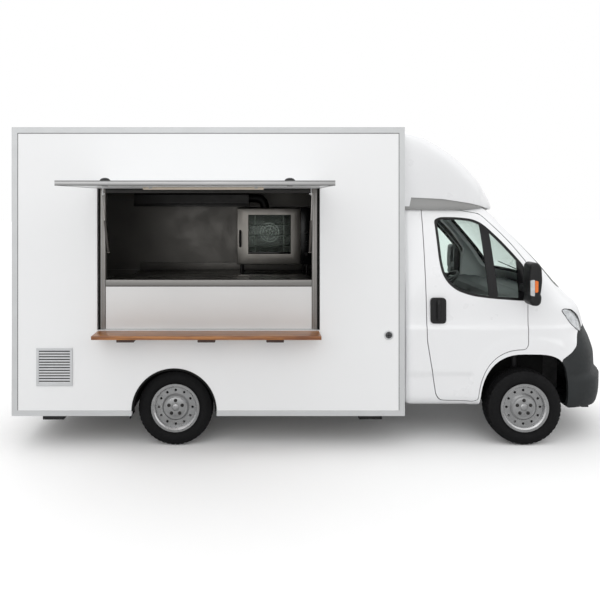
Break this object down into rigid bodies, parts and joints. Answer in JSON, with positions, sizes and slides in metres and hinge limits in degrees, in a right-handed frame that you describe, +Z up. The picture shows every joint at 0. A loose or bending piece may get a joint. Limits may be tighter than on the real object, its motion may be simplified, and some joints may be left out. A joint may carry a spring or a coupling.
{
  "type": "food truck",
  "caption": "Front-wheel-drive chassis cab with a high white box body, a roof fairing, a top-hinged serving hatch held open on gas struts, a wooden shelf and a fitted kitchen.",
  "frame": {"origin": "on the ground, at the middle of the whole truck's length and of its width with the hatch open", "axes": "+X forward along the truck, +Y to its left side, +Z up"},
  "size_m": [5.334, 3.532, 2.725],
  "materials": {
    "white_panel": "smooth white sandwich panel",
    "white_paint": "glossy white paint",
    "aluminium": "satin extruded edge",
    "dark_plastic": "grained dark grey bumper plastic",
    "black_plastic": "black plastic",
    "grey_plastic": "mid grey cabin plastic",
    "chassis_steel": "black chassis paint",
    "galvanised": "galvanised steel",
    "cast": "raw casting",
    "tyre": "black rubber",
    "rim": "silver painted steel",
    "glass": "green tinted glass",
    "lamp": "clear lamp cover",
    "lamp_red": "red lamp cover",
    "seat_cloth": "dark seat cloth",
    "frame_grey": "grey painted post",
    "stainless": "brushed stainless steel",
    "dark_steel": "dark steel",
    "wood": "oiled wood board",
    "floor_board": "sealed floor board",
    "strut_black": "black gas spring tube",
    "strut_rod": "bright rod"
  },
  "bodies": {
    "truck": {"chassis_frame": "chassis_steel", "engine_block": "cast", "exhaust": "galvanised", "fuel_tank": "black_plastic", "battery_box": "black_plastic", "corner_steadies": "chassis_steel", "rear_axle": "galvanised", "front_suspension": "chassis_steel", "cab_body": "white_paint", "front_bumper": "dark_plastic", "headlights": "lamp", "windscreen": "glass", "dashboard": "grey_plastic", "seat_bases": "chassis_steel", "seats": "seat_cloth", "roof_fairing": "white_paint", "box_floor": "floor_board", "box_roof": "white_panel", "box_right_wall": "white_panel", "box_left_wall": "white_panel", "box_front_wall": "white_panel", "box_rear_wall": "white_panel", "rear_lamps": "lamp_red", "box_trim": "aluminium", "serving_frame": "frame_grey", "serving_counter": "stainless", "shelf": "wood", "shelf_brackets": "dark_steel", "kitchen_unit": "stainless", "oven": "stainless", "extraction_hood": "dark_steel"},
    "right_front_knuckle": {"right_knuckle": "cast"},
    "left_front_knuckle": {"left_knuckle": "cast"},
    "front_right_wheel": {"front_right_tyre": "tyre", "front_right_rim": "rim"},
    "front_left_wheel": {"front_left_tyre": "tyre", "front_left_rim": "rim"},
    "rear_right_wheel": {"rear_right_tyre": "tyre", "rear_right_rim": "rim"},
    "rear_left_wheel": {"rear_left_tyre": "tyre", "rear_left_rim": "rim"},
    "right_door": {"right_cab_door": "white_paint", "right_door_glass": "glass", "right_mirror": "black_plastic"},
    "left_door": {"left_cab_door": "white_paint", "left_door_glass": "glass", "left_mirror": "black_plastic"},
    "bonnet_lid": {"bonnet": "white_paint"},
    "entry_door": {"rear_door": "white_panel"},
    "hatch": {"serving_hatch": "white_panel"},
    "gas_strut_tubes": {"strut_cylinders": "strut_black"},
    "gas_strut_rods": {"strut_rods": "strut_rod"},
    "hand_wheel": {"steering_wheel": "black_plastic"}
  },
  "joints": [
    {"name": "right_steering", "type": "hinge", "parent": "truck", "child": "right_front_knuckle", "pos_m": [1.712, -0.3375, 0.322], "axis": [0, 0, 1], "range_deg": [-35, 35]},
    {"name": "left_steering", "type": "hinge", "parent": "truck", "child": "left_front_knuckle", "pos_m": [1.712, 1.3615, 0.322], "axis": [0, 0, 1], "range_deg": [-35, 35]},
    {"name": "front_right_roll", "type": "hinge", "parent": "right_front_knuckle", "child": "front_right_wheel", "pos_m": [1.712, -0.3975, 0.322], "axis": [0, 1, 0], "continuous": true},
    {"name": "front_left_roll", "type": "hinge", "parent": "left_front_knuckle", "child": "front_left_wheel", "pos_m": [1.712, 1.4215, 0.322], "axis": [0, 1, 0], "continuous": true},
    {"name": "rear_right_roll", "type": "hinge", "parent": "truck", "child": "rear_right_wheel", "pos_m": [-1.288, -0.3975, 0.322], "axis": [0, 1, 0], "continuous": true},
    {"name": "rear_left_roll", "type": "hinge", "parent": "truck", "child": "rear_left_wheel", "pos_m": [-1.288, 1.4215, 0.322], "axis": [0, 1, 0], "continuous": true},
    {"name": "right_door_hinge", "type": "hinge", "parent": "truck", "child": "right_door", "pos_m": [1.724, -0.508, 1.2], "axis": [0, 0, 1], "range_deg": [0, 65]},
    {"name": "left_door_hinge", "type": "hinge", "parent": "truck", "child": "left_door", "pos_m": [1.724, 1.532, 1.2], "axis": [0, 0, -1], "range_deg": [0, 65]},
    {"name": "bonnet_hinge", "type": "hinge", "parent": "truck", "child": "bonnet_lid", "pos_m": [2.222, 0.512, 1.296], "axis": [0, -1, 0], "range_deg": [0, 45]},
    {"name": "entry_door_hinge", "type": "hinge", "parent": "truck", "child": "entry_door", "pos_m": [-2.668, 0.148, 1.4], "axis": [0, 0, 1], "range_deg": [0, 110]},
    {"name": "hatch_hinge", "type": "hinge", "parent": "truck", "child": "hatch", "pos_m": [-0.9975, -0.553, 2.222], "axis": [1, 0, 0], "range_deg": [0, 90]},
    {"name": "strut_tube_hinge", "type": "hinge", "parent": "truck", "child": "gas_strut_tubes", "pos_m": [-0.9975, -0.493, 1.66], "axis": [1, 0, 0], "range_deg": [-26.5, 0]},
    {"name": "strut_rod_slide", "type": "slide", "parent": "gas_strut_tubes", "child": "gas_strut_rods", "axis": [0, -0.4341, 0.9008], "range_m": [-0.1718, 0]},
    {"name": "steering_wheel_turn", "type": "hinge", "parent": "truck", "child": "hand_wheel", "pos_m": [1.392, 0.942, 1.225], "axis": [-0.6157, 0, 0.788], "range_deg": [-560, 560]}
  ],
  "couplings": [
    {"joint": "left_steering", "follows": "right_steering", "ratio": 1},
    {"joint": "steering_wheel_turn", "follows": "right_steering", "ratio": 16},
    {"joint": "strut_tube_hinge", "follows": "hatch_hinge", "ratio": -0.29256},
    {"joint": "strut_rod_slide", "follows": "hatch_hinge", "m_per_rad": -0.10873}
  ]
}
